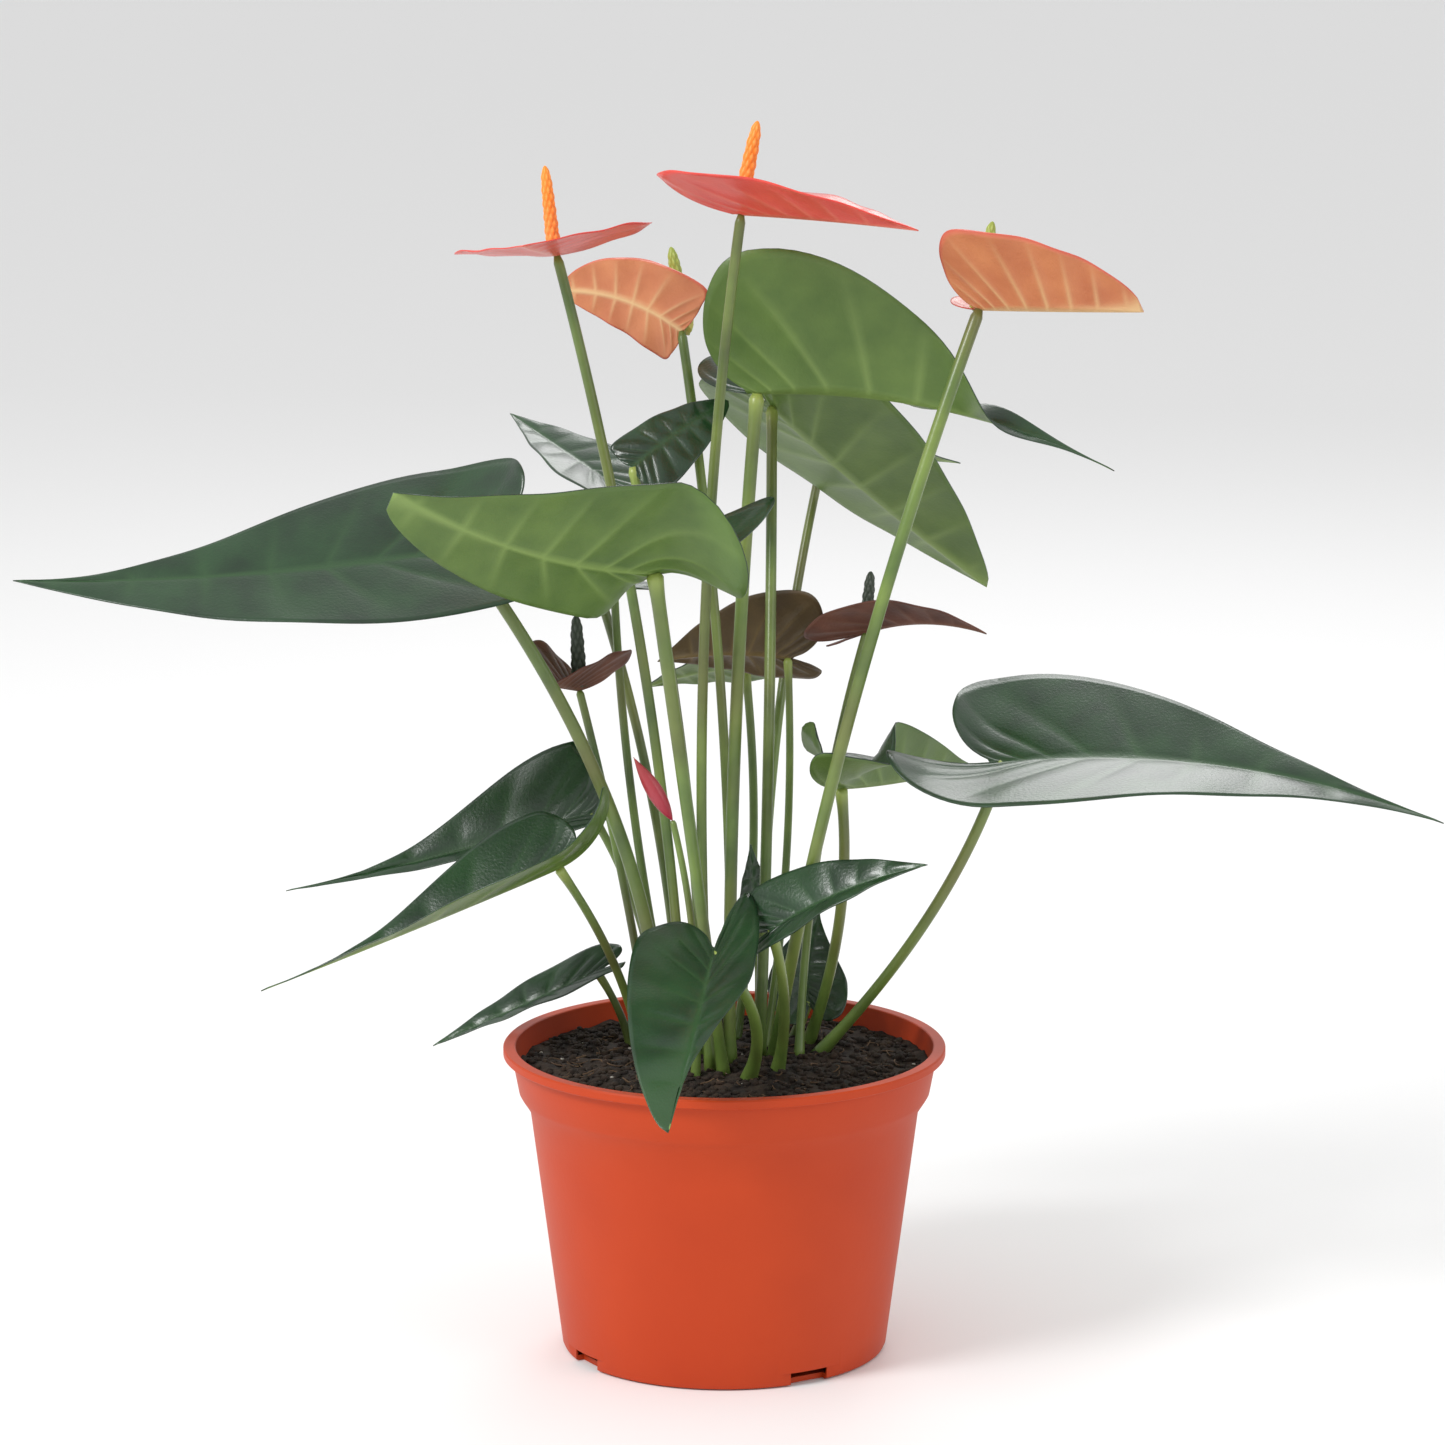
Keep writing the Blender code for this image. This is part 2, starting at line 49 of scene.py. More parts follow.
# Pot: a thin moulded nursery pot, radii and heights in millimetres.
POT_HEIGHT = 115.7
RIM_RADIUS = 82.5
LIP_HEIGHT = 3.4
COLLAR_TOP_RADIUS = 79.2
COLLAR_FOOT_RADIUS = 76.7
COLLAR_FOOT_HEIGHT = 98.5
BODY_TOP_RADIUS = 72.6
BODY_TOP_HEIGHT = 92.0
BASE_RADIUS = 60.6
WALL = 1.3
FLOOR = 2.0
DRAIN_COUNT = 4
DRAIN_TURN = -58.7          # degrees round from +X to the first drain hole
DRAIN_WIDTH = 15.6
DRAIN_HEIGHT = 5.2
RECESS_WIDTH = 35.7
RECESS_DEPTH = 0.5

# Potting mix: a low mound inside the pot, and the top of the root ball at the back right.
SOIL_EDGE_HEIGHT = 107.5
SOIL_CENTRE_RISE = 2.5
ROOT_BALL = (34.0, 34.0)
ROOT_BALL_RADIUS = 22.0
ROOT_BALL_RISE = 4.0
SOIL_GAP = 0.4              # between the mix and the pot

# A blade's half outline, from the notch round the lobe to the tip. The first number runs along the
# midrib, with the joint at 0 and the tip at 1, and the second across it, with 1 at the widest place.
HALF_HEART = [(-.04, 0), (-.20, .16), (-.29, .40), (-.26, .70), (-.13, .93), (.05, 1),
              (.24, .94), (.46, .74), (.68, .46), (.86, .19), (1, 0)]
LOBE_REACH = .29            # how far the lobes reach back past the joint
WIDEST = .05                # how far along the blade is widest: a taper acts past it
MOST_ACROSS = 1.05          # keeps the smoothed outline from swinging out
CURVE_STEPS = 24            # points between two given ones, when a curve is smoothed
RIB_STEPS = 60
RAY_CROWDING = 1.7          # above 1, the rays leave the midrib closer together near the joint
BLADE_RAYS = 73             # from the notch round to the tip
BLADE_STEPS = 14            # from the midrib out to the margin


class Blade:
    """A leaf blade or a spathe. Its midrib starts at the joint, in millimetres, and runs length mm. Its
    heading is in degrees round from +X towards +Y and its slope in degrees above level, at the joint,
    and by the tip it has veered and drooped by these degrees. Where a value is a pair, it is the left
    and the right half's, seen from the joint towards the tip with the upper face up."""

    def __init__(self, joint, heading, slope, length, face, width, veer=0, droop=0, face_tip=None,
                 turn=(0, 1), lobe=1, taper=1, fold=0, curl=0, lift=0, relax=0):
        self.joint = joint
        self.heading = heading
        self.slope = slope
        self.length = length
        self.veer = veer
        self.droop = droop
        self.face = face                      # where the upper face looks at the joint
        self.face_tip = face_tip or face      # and at the tip
        self.turn = turn                      # the stretch of midrib along which it turns
        self.width = pair(width)              # full width over the midrib's length
        self.lobe = pair(lobe)                # reach of the basal lobes, 1 as in the outline
        self.taper = pair(taper)              # above 1 for a slimmer blade, below 1 for a fuller one
        self.fold = pair(fold)                # rise of each half from the midrib, in degrees
        self.curl = pair(curl)                # more rise from midrib to margin
        self.lift = pair(lift)                # rise of the lobes behind the joint
        self.relax = relax                    # how far the fold opens out towards the tip


def pair(value):
    return value if isinstance(value, tuple) else (value, value)


YOUNG_LEAF = "leaf_19"
LEAVES = {
    "leaf_01": Blade((-95, -20, 306), 193, -7, 163, veer=-13, droop=-8, face=(0, -.6, .8),
                     width=(.47, .5), taper=(.95, 2), lobe=(.8, .7), fold=5, curl=(10, -10),
                     lift=(10, 60)),
    "leaf_02": Blade((-25, -55, 303), 221, 7, 118, veer=-10, droop=-25, face=(.1, -.4, .95),
                     face_tip=(-.2, .8, .5), turn=(-.25, .15), width=(.75, .4), taper=(1, .35),
                     lobe=(.5, 1.8), lift=(0, 50)),
    "leaf_03": Blade((-48, 68, 276), 180, 0, 80, face=(0, .1, 1), width=.6, fold=5),
    "leaf_04": Blade((-42, 40, 321), 124, 14, 74, face=(-.2, .2, 1), width=.5, fold=10),
    "leaf_05": Blade((-34, 20, 330), 24, 37, 45, droop=14, face=(-.3, -.8, .4), width=(.55, .7),
                     lobe=.1, taper=.6, fold=(0, -10)),
    "leaf_06": Blade((12, 15, 358), -4, 3, 136, veer=4, droop=30, face=(0, .95, .3),
                     face_tip=(.3, -.4, .9), turn=(.4, .8), width=(.5, .85), lobe=(1, .45),
                     taper=(2, 2.4), fold=(100, 0), lift=(60, 0), relax=.9),
    "leaf_07": Blade((18, 80, 344), 38, -40, 124, veer=-18, droop=-3, face=(.4, .8, .5),
                     width=(.6, .75), lobe=(.5, 1), taper=(1, .7), fold=(20, 0)),
    "leaf_08": Blade((102, -20, 227), -10, 8, 163, droop=28, face=(0, -.4, .9), width=(.6, .55),
                     lobe=(.5, 1), taper=(2.2, 1.2), fold=(5, 14), lift=(60, 50)),
    "leaf_09": Blade((43, -5, 214), 47, -6, 75, droop=-8, face=(-.1, -.6, .8),
                     face_tip=(0, .3, .95), turn=(-.1, .2), width=.8, lobe=(.6, 1.9),
                     fold=(30, 50), lift=(60, 40)),
    "leaf_10": Blade((-50, 35, 196), 171, -19, 120, veer=17, droop=-9, face=(0, -.2, 1),
                     width=(.15, .5), lobe=(.3, .4), taper=(1, 3), fold=(-10, 50), lift=(0, 40)),
    "leaf_11": Blade((-61, -15, 186), 188, -22, 118, veer=5, droop=-3, face=(0, 0, 1), width=.45,
                     lobe=(1.2, .4), taper=(2, 3), fold=(25, 45), lift=(70, 20)),
    "leaf_12": Blade((-48, 25, 137), 180, -25, 68, veer=7, droop=-2, face=(0, -.2, 1),
                     width=(.3, .36), lobe=.6, fold=(10, 25)),
    "leaf_13": Blade((-4, -62, 165), 261, -25, 89, veer=-6, droop=13, face=(0, -.6, .8),
                     width=(.35, .65), lobe=(1.4, .6), taper=(3, .6)),
    "leaf_14": Blade((17, -42, 169), -24, 36, 67, veer=6, droop=20, face=(.2, -.5, .8),
                     width=(.55, .3), lobe=(.5, .8), fold=(20, 10)),
    "leaf_15": Blade((12, 24, 154), 112, 80, 32, face=(.5, -.8, 0), width=.5, lobe=.2),
    "leaf_16": Blade((32, 35, 123), 100, 40, 40, veer=-40, droop=-12, face=(0, -.7, .6), width=.8,
                     fold=20),
    "leaf_17": Blade((8, 78, 244), 164, -6, 42, droop=16, face=(0, .5, .8), width=.7),
    "leaf_18": Blade((40, 142, 322), 36, -12, 64, veer=-11, face=(0, .3, .9), width=.5),
    "leaf_19": Blade((24, 59, 251), 188, 10, 50, droop=20, face=(0, .9, .35), width=(1.2, .5),
                     lobe=(.7, 1), fold=(0, 20)),
}

SPATHES = {
    "flower_1": ("red", Blade((-61, 5, 410), 259, 8, 44, veer=-8, droop=-5, face=(-.3, .3, .95),
                              width=1.7, lobe=1.2, fold=(0, 20))),
    "flower_2": ("red", Blade((6, -25, 428), -35, 1, 72, veer=10, droop=5, face=(0, .2, 1),
                              width=(.9, 1), lobe=1.3, lift=(25, 20), fold=20)),
    "flower_3": ("orange", Blade((91, -35, 395), -27, 2, 62, veer=8, face=(-.1, .8, .5),
                                 width=(1.1, 1.25), lobe=(1.3, .45), taper=(1, .5), fold=(50, 0),
                                 lift=(30, 0))),
    "flower_4": ("orange", Blade((-16, 55, 376), 162, 36, 50, droop=40, face=(.4, .8, .2),
                                 width=(.85, .6), lobe=.1, taper=.5)),
    "flower_5": ("brown", Blade((-54, 20, 246), 240, 14, 24, veer=8, face=(0, 0, 1), width=2.2,
                                fold=40)),
    "flower_6": ("brown", Blade((53, 35, 265), -24, 22, 48, veer=10, droop=38, face=(0, .2, 1),
                                width=.8, lobe=1.5, fold=(10, 30))),
}

# Each stem: its radii at the top and the foot, where its foot stands in the mix, and how far its
# middle bows out of the straight line to the joint, as (x, y).
LEAF_STEMS = {
    "leaf_01": ((2.3, 2.6), (-22, -2), (17, 0)),
    "leaf_02": ((2.6, 2.0), (0, -18), (0, 3)),
    "leaf_03": ((1.8, 1.8), (-16, 34), (6, 0)),
    "leaf_04": ((1.5, 1.7), (-18, 26), (-6, 0)),
    "leaf_05": ((1.6, 1.8), (-8, 8), (6, 0)),
    "leaf_06": ((2.4, 2.3), (2, -6), (-3, -4)),
    "leaf_07": ((2.0, 2.2), (13, 6), (1, -22)),
    "leaf_08": ((2.0, 2.1), (34, 17), (9, 0)),
    "leaf_09": ((2.0, 2.1), (31, 25), (6, 0)),
    "leaf_10": ((1.5, 1.6), (-26, 13), (8, 0)),
    "leaf_11": ((1.6, 1.7), (-31, 17), (5, 0)),
    "leaf_12": ((1.4, 1.5), (-35, 26), (2, 0)),
    "leaf_13": ((1.8, 2.4), (8, -22), (9, 0)),
    "leaf_14": ((1.8, 2.2), (19, -14), (4, 0)),
    "leaf_15": ((1.4, 1.6), (12, 26), (1, 0)),
    "leaf_16": ((1.5, 1.7), (26, 34), (0, 0)),
    "leaf_17": ((1.6, 1.7), (4, 36), (5, 0)),
    "leaf_18": ((1.7, 1.9), (14, 40), (-7, 0)),
    "leaf_19": ((1.4, 1.6), (15, 20), (4, 0)),
}
FLOWER_STEMS = {
    "flower_1": ((1.9, 1.9), (-14, -8), (8, 0)),
    "flower_2": ((1.9, 1.9), (-5, -14), (-8, 13)),
    "flower_3": ((2.3, 2.3), (18, 3), (-9, -30)),
    "flower_4": ((1.8, 1.8), (2, 8), (6, -14)),
    "flower_5": ((1.5, 1.6), (-26, 3), (2, 0)),
    "flower_6": ((1.5, 1.6), (28, 10), (-5, 6)),
}

# Each spadix stands over its spathe's joint, on the upper face: its colour, length, greatest radius
# and lean, as (x, y).
SPADIX_GAP = 4.5            # from the joint to the spadix's foot
SPADICES = {
    "flower_1": ("orange", 29, 2.7, (-.1, -.05)),
    "flower_2": ("orange", 30, 3.0, (.2, -.05)),
    "flower_3": ("green", 30, 3.0, (.2, .3)),
    "flower_4": ("green", 31, 3.0, (-.2, .1)),
    "flower_5": ("dark", 24, 3.0, (-.05, .1)),
    "flower_6": ("dark", 19, 2.6, (.1, .2)),
}

BUD_FOOT = (-19, -20, 205)
BUD_LEAN = (-.6, 0)
BUD_LENGTH = 28
BUD_RADIUS = 3.3
BUD_STEM = ((1.2, 1.5), (-11, -23), (4, 0))


def unit(vectors):
    return vectors / np.linalg.norm(vectors, axis=-1, keepdims=True)


def smooth_path(points, count):
    """A smooth curve through the points, as count points evenly spaced along it."""
    points = np.asarray(points, float)
    ends = np.vstack([2 * points[0] - points[1], points, 2 * points[-1] - points[-2]])
    t = np.linspace(0, 1, CURVE_STEPS, endpoint=False)[:, None]
    pieces = []
    for a, b, c, d in zip(ends, ends[1:], ends[2:], ends[3:]):
        pieces.append(.5 * (2 * b + (c - a) * t + (2 * a - 5 * b + 4 * c - d) * t ** 2
                            + (3 * b - a - 3 * c + d) * t ** 3))
    dense = np.vstack(pieces + [points[-1:]])
    run = np.concatenate([[0], np.cumsum(np.linalg.norm(np.diff(dense, axis=0), axis=1))])
    at = np.linspace(0, run[-1], count)
    return np.stack([np.interp(at, run, axis) for axis in dense.T], 1)


def sample(curve, along):
    """The curve's points at these shares of its length."""
    at = np.linspace(0, 1, len(curve))
    return np.stack([np.interp(along, at, axis) for axis in curve.T], 1)


def midrib(blade):
    """The midrib's points and unit directions, evenly spaced from the joint to the tip."""
    along = np.linspace(0, 1, RIB_STEPS + 1)
    heading = np.radians(blade.heading + blade.veer * along)
    slope = np.radians(blade.slope - blade.droop * along)
    level = np.cos(slope)
    directions = np.stack([level * np.cos(heading), level * np.sin(heading), np.sin(slope)], 1)
    steps = (directions[1:] + directions[:-1]) / 2 * blade.length / RIB_STEPS
    points = np.vstack([np.zeros(3), np.cumsum(steps, axis=0)]) + np.array(blade.joint)
    return points, directions


def half_outline(blade, side, rays):
    """One half's margin as (along, across) pairs from the notch to the tip."""
    lobe = blade.lobe[side]
    heart = [(along * (lobe if along < 0 else 1), across) for along, across in HALF_HEART]
    edge = smooth_path(heart, rays)
    across = np.clip(edge[:, 1], 0, MOST_ACROSS)
    edge[:, 1] = np.where(edge[:, 0] > WIDEST, across ** blade.taper[side], across)
    return edge


def blade_points(blade, rays, steps):
    """The blade's middle surface, in metres: for each half, rays x (steps + 1) points from the midrib
    to the margin. Each half is a fan of rays that leave the midrib and end on the margin."""
    rib, tangents = midrib(blade)
    length = blade.length
    start, end = blade.turn
    leaving = np.linspace(0, 1, rays) ** RAY_CROWDING
    halves = []
    for side, sign in ((0, -1), (1, 1)):
        edge = half_outline(blade, side, rays)
        half_width = blade.width[side] / 2
        fold = math.radians(blade.fold[side])
        curl = math.radians(blade.curl[side])
        lift = math.radians(blade.lift[side])
        bend = lift / (LOBE_REACH * blade.lobe[side])
        grid = np.zeros((rays, steps + 1, 3))
        for step in range(steps + 1):
            out = step / steps
            along = (1 - out) * leaving + out * edge[:, 0]
            across = out * edge[:, 1] * half_width
            on_rib = np.clip(along, 0, 1)
            behind = np.clip(-along, 0, None)
            place = sample(rib, on_rib)
            tangent = unit(sample(tangents, on_rib))
            share = np.clip((along - start) / (end - start), 0, 1)
            share = (share * share * (3 - 2 * share))[:, None]
            face = (1 - share) * np.array(blade.face) + share * np.array(blade.face_tip)
            normal = unit(face - (face * tangent).sum(1, keepdims=True) * tangent)
            sideways = np.cross(tangent, normal)
            angle = bend * behind
            back = np.sin(angle) / bend if bend else behind
            rise = (1 - np.cos(angle)) / bend if bend else 0 * behind
            place = place + length * (rise[:, None] * normal - back[:, None] * tangent)
            normal = np.cos(angle)[:, None] * normal + np.sin(angle)[:, None] * tangent
            first = fold * (1 - blade.relax * on_rib)
            last = first + curl * across / half_width
            if curl:
                wide = half_width / curl * (np.sin(last) - np.sin(first))
                high = half_width / curl * (np.cos(first) - np.cos(last))
            else:
                wide = across * np.cos(first)
                high = across * np.sin(first)
            offset = sign * wide[:, None] * sideways + high[:, None] * normal
            grid[:, step] = place + length * offset
        halves.append(grid * MM)
    return halves


def ground(x, y):
    """Height of the potting mix, in millimetres."""
    middle = SOIL_CENTRE_RISE * math.exp(-(x * x + y * y) / 35 ** 2)
    near = math.hypot(x - ROOT_BALL[0], y - ROOT_BALL[1]) / ROOT_BALL_RADIUS
    ball = ROOT_BALL_RISE * math.cos(math.pi / 2 * near) ** 2 if near < 1 else 0
    return SOIL_EDGE_HEIGHT + middle + ball


def pot_profile():
    """The pot's section as (radius, height), from the middle of its floor up the inside, over the rim
    and down the outside. The small numbers round off the rim, the collar's foot and the base."""
    inner_base = BASE_RADIUS - WALL
    slope = (BODY_TOP_RADIUS - BASE_RADIUS) / BODY_TOP_HEIGHT
    return [
        (0, FLOOR), (inner_base + slope * FLOOR, FLOOR),
        (BODY_TOP_RADIUS - WALL, BODY_TOP_HEIGHT), (COLLAR_FOOT_RADIUS - WALL, COLLAR_FOOT_HEIGHT),
        (COLLAR_TOP_RADIUS - WALL, POT_HEIGHT - .3), (COLLAR_TOP_RADIUS - WALL + .4, POT_HEIGHT),
        (RIM_RADIUS - .5, POT_HEIGHT), (RIM_RADIUS, POT_HEIGHT - .6),
        (RIM_RADIUS, POT_HEIGHT - LIP_HEIGHT + .4), (RIM_RADIUS - .4, POT_HEIGHT - LIP_HEIGHT),
        (COLLAR_TOP_RADIUS, POT_HEIGHT - LIP_HEIGHT - .8), (COLLAR_FOOT_RADIUS, COLLAR_FOOT_HEIGHT),
        (COLLAR_FOOT_RADIUS - .9, COLLAR_FOOT_HEIGHT - 1.6), (BODY_TOP_RADIUS, BODY_TOP_HEIGHT),
        (BASE_RADIUS + .3, 2), (BASE_RADIUS - .4, .5), (BASE_RADIUS - 1.6, 0), (0, 0),
    ]


def add_object(name, data):
    """A new object in the scene that holds this mesh, light or camera."""
    added = bpy.data.objects.new(name, data)
    bpy.context.scene.collection.objects.link(added)
    return added


def mesh_of(name, points, faces):
    mesh = bpy.data.meshes.new(name)
    mesh.from_pydata([tuple(point) for point in points], [], faces)
    return mesh


def finish_piece(name, mesh, nodes, slot, *looks):
    """A smooth-shaded piece that rides on the plant and stands for its CAD nodes."""
    for look in looks:
        mesh.materials.append(look)
    mesh.shade_smooth()
    mesh.update()
    piece = add_object(name, mesh)
    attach(piece, "root")
    if nodes:
        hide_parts(*nodes)
    return piece


class Look:
    """A Principled material with helpers for its procedural colour and fine relief."""

    def __init__(self, name, **values):
        self.material = bpy.data.materials.new(name)
        self.material.use_nodes = True
        self.tree = self.material.node_tree
        self.shader = self.tree.nodes["Principled BSDF"]
        for socket, value in values.items():
            self.shader.inputs[socket.replace("_", " ")].default_value = value
        self.place = self.tree.nodes.new("ShaderNodeTexCoord").outputs["Object"]

    def node(self, kind, **inputs):
        made = self.tree.nodes.new(kind)
        for key, value in inputs.items():
            socket = made.inputs[key.replace("_", " ")]
            if isinstance(value, bpy.types.NodeSocket):
                self.tree.links.new(value, socket)
            else:
                socket.default_value = value
        return made

    def noise(self, per_metre, detail=4.0):
        """Random mottling between 0 and 1, with this many blotches in a metre."""
        made = self.node("ShaderNodeTexNoise", Vector=self.place, Scale=per_metre, Detail=detail)
        return made.outputs["Fac"]

    def ramp(self, fac, *stops):
        """A colour for each value of fac, from (position, colour) stops."""
        made = self.node("ShaderNodeValToRGB", Fac=fac)
        elements = made.color_ramp.elements
        for element, (position, colour) in ((elements[0], stops[0]), (elements[1], stops[-1])):
            element.position = position
            element.color = (*colour, 1)
        for position, colour in stops[1:-1]:
            elements.new(position).color = (*colour, 1)
        return made.outputs["Color"]

    def mix(self, share, first, second):
        """The first colour, turning into the second as the share goes from 0 to 1."""
        made = self.tree.nodes.new("ShaderNodeMix")
        made.data_type = "RGBA"
        # The node holds sockets for every kind of data: the colours are 6 and 7, and the result is 2.
        for number, value in ((0, share), (6, first), (7, second)):
            if isinstance(value, bpy.types.NodeSocket):
                self.tree.links.new(value, made.inputs[number])
            else:
                made.inputs[number].default_value = (*value, 1)
        return made.outputs[2]

    def channel(self, index):
        """One of the two values that set_pattern stored in the mesh."""
        named = self.tree.nodes.new("ShaderNodeAttribute")
        named.attribute_name = "pattern"
        return self.node("ShaderNodeSeparateColor", Color=named.outputs["Color"]).outputs[index]

    def finish(self, colour, relief, depth, strength):
        """Puts in the colour and a bump this deep, in metres, and gives back the material."""
        self.tree.links.new(colour, self.shader.inputs["Base Color"])
        bump = self.node("ShaderNodeBump", Height=relief, Distance=depth, Strength=strength)
        self.tree.links.new(bump.outputs["Normal"], self.shader.inputs["Normal"])
        return self.material


# The looks of leaves, spathes and the bud: the darker and the lighter tissue and the veins, as linear
# colours, then roughness, coat and, where the margin differs, its colour.
BLADE_LOOKS = {
    "leaf_top": ((.005, .024, .008), (.013, .052, .015), (.022, .070, .020), .32, .3),
    "leaf_under": ((.070, .135, .022), (.110, .190, .034), (.20, .30, .075), .5, .1),
    "young_top": ((.060, .035, .018), (.11, .070, .028), (.17, .11, .045), .38, .3),
    "young_under": ((.075, .048, .022), (.13, .085, .035), (.22, .15, .06), .45, .2),
    "red_top": ((.66, .035, .025), (.78, .060, .040), (.80, .13, .09), .33, .3),
    "red_under": ((.68, .045, .032), (.80, .080, .055), (.82, .18, .12), .4, .2),
    "orange_top": ((.56, .070, .045), (.68, .13, .075), (.72, .32, .17), .36, .3),
    "orange_under": ((.50, .145, .055), (.62, .22, .085), (.72, .46, .22), .42, .2, (.55, .09, .05)),
    "brown_top": ((.060, .016, .010), (.15, .045, .026), (.17, .07, .04), .55, .1),
    "brown_under": ((.075, .025, .016), (.18, .065, .038), (.20, .09, .055), .6, .05),
    "bud": ((.40, .018, .045), (.50, .035, .070), (.30, .03, .03), .4, .3),
}

# The colours of a spadix's foot and of its upper half.
SPADIX_LOOKS = {
    "spadix_orange": ((.78, .36, .10), (.86, .24, .012)),
    "spadix_green": ((.50, .42, .06), (.27, .33, .045)),
    "spadix_dark": ((.020, .035, .014), (.012, .026, .010)),
}


def blade_look(name, dark, light, vein, roughness, coat, edge=None):
    """Mottled tissue with paler veins and, where given, a margin of another colour."""
    look = Look(name, Roughness=roughness, Coat_Weight=coat, Coat_Roughness=.18)
    tissue = look.ramp(look.noise(60), (.3, dark), (.7, light))
    colour = look.mix(look.channel(0), tissue, vein)
    if edge:
        colour = look.mix(look.channel(1), colour, edge)
    return look.finish(colour, look.noise(900, 3), .0004, .35)


def stem_look():
    """Green with a brownish flush in places, and paler at the knee."""
    look = Look("stem", Roughness=.38, Coat_Weight=.25, Coat_Roughness=.25)
    green = look.ramp(look.noise(35), (.3, (.060, .115, .022)), (.75, (.19, .28, .055)))
    flushed = look.ramp(look.noise(14, 2), (.45, (0, 0, 0)), (.75, (.45, .45, .45)))
    colour = look.mix(flushed, green, (.16, .055, .035))
    colour = look.mix(look.channel(0), colour, (.30, .38, .085))
    return look.finish(colour, look.noise(700, 3), .0003, .3)


def spadix_look(name, low, high):
    """One colour at the foot and another from the middle up, and paler on the beads."""
    look = Look(name, Roughness=.5, Coat_Weight=.1, Coat_Roughness=.3)
    flesh = look.ramp(look.channel(0), (0, low), (.55, high), (1, high))
    pale = tuple(min(1, 1.35 * c + .05) for c in high)
    return look.finish(look.mix(look.channel(1), flesh, pale), look.noise(1500, 2), .0002, .3)


def pot_look():
    """Matt, slightly uneven moulded plastic."""
    look = Look("pot", Roughness=.5, Specular_IOR_Level=.3)
    colour = look.ramp(look.noise(18), (.3, (.45, .040, .004)), (.7, (.50, .048, .005)))
    return look.finish(colour, look.noise(450, 5), .0002, .25)


def soil_look(name, dark, light):
    look = Look(name, Roughness=.95)
    colour = look.ramp(look.noise(160, 6), (.35, dark), (.75, light))
    return look.finish(colour, look.noise(1200, 6), .0006, .6)


def set_pattern(mesh, first, second):
    """Stores two values at each point, which a look reads with channel."""
    pattern = mesh.color_attributes.new(name="pattern", type="FLOAT_COLOR", domain="POINT")
    values = np.ones((len(mesh.vertices), 4))
    values[:, 0] = first
    values[:, 1] = second
    values[:, 2] = 0
    pattern.data.foreach_set("color", values.ravel())


VEINS = 9                   # side veins in each half
VEIN_HALF_WIDTH = .10       # of the space between two veins, beside the midrib
VEIN_NARROWING = .4         # share of that width that is gone at the margin
VEIN_END = 1.02             # a side vein fades evenly and is all but gone at the margin
SIDE_VEIN = .75             # strength of a side vein, with the midrib's at 1
MIDRIB_HALF_WIDTH = 1.3
THIN = 0.45                 # thickness of a blade
RELIEF = 0.35               # how far a vein sinks into the upper face
QUILT = 0.55                # how far the tissue between two veins bulges up
SPATHE_RELIEF = .6          # share of both that a spathe has
MARGIN = .07                # outer share of each half that takes the margin's colour
WAVE = 0.5                  # greatest rise of the margin's waves
WAVES = 5                   # from notch to tip
WAVE_START = 1.3            # how far into a wave the notch is, in radians
CALM = .02                  # how near the notch and the tip the relief has died away


def blade_pattern(half, relief):
    """For each point of a half: how far it is vein and margin, and its rise off the middle surface."""
    out = np.linspace(0, 1, BLADE_STEPS + 1)[None, :]
    along = np.linspace(0, 1, BLADE_RAYS)[:, None]
    phase = (along * VEINS) % 1
    half_width = VEIN_HALF_WIDTH * (1 - VEIN_NARROWING * out)
    side_vein = np.exp(-((phase - .5) / half_width) ** 2) * np.clip(VEIN_END - out, 0, 1)
    off_midrib = np.linalg.norm(half - half[:, :1], axis=2) / MM
    midrib_vein = np.exp(-(off_midrib / MIDRIB_HALF_WIDTH) ** 2)
    vein = np.clip(np.maximum(SIDE_VEIN * side_vein, midrib_vein), 0, 1)
    for end in (0, -1):
        vein[end] = midrib_vein[end]
    margin = np.clip((out - 1 + MARGIN) / MARGIN, 0, 1) * np.ones_like(vein)
    quilt = np.abs(np.cos(math.pi * phase)) * np.sin(math.pi * out) * QUILT
    swing = np.sin(2 * math.pi * along * WAVES + WAVE_START)
    wave = WAVE * out ** 3 * swing * np.sin(math.pi * along)
    calm = np.sin(math.pi * np.clip(along, CALM, 1 - CALM)) ** .3
    return vein, margin, (relief * (quilt - RELIEF * vein) + wave) * calm


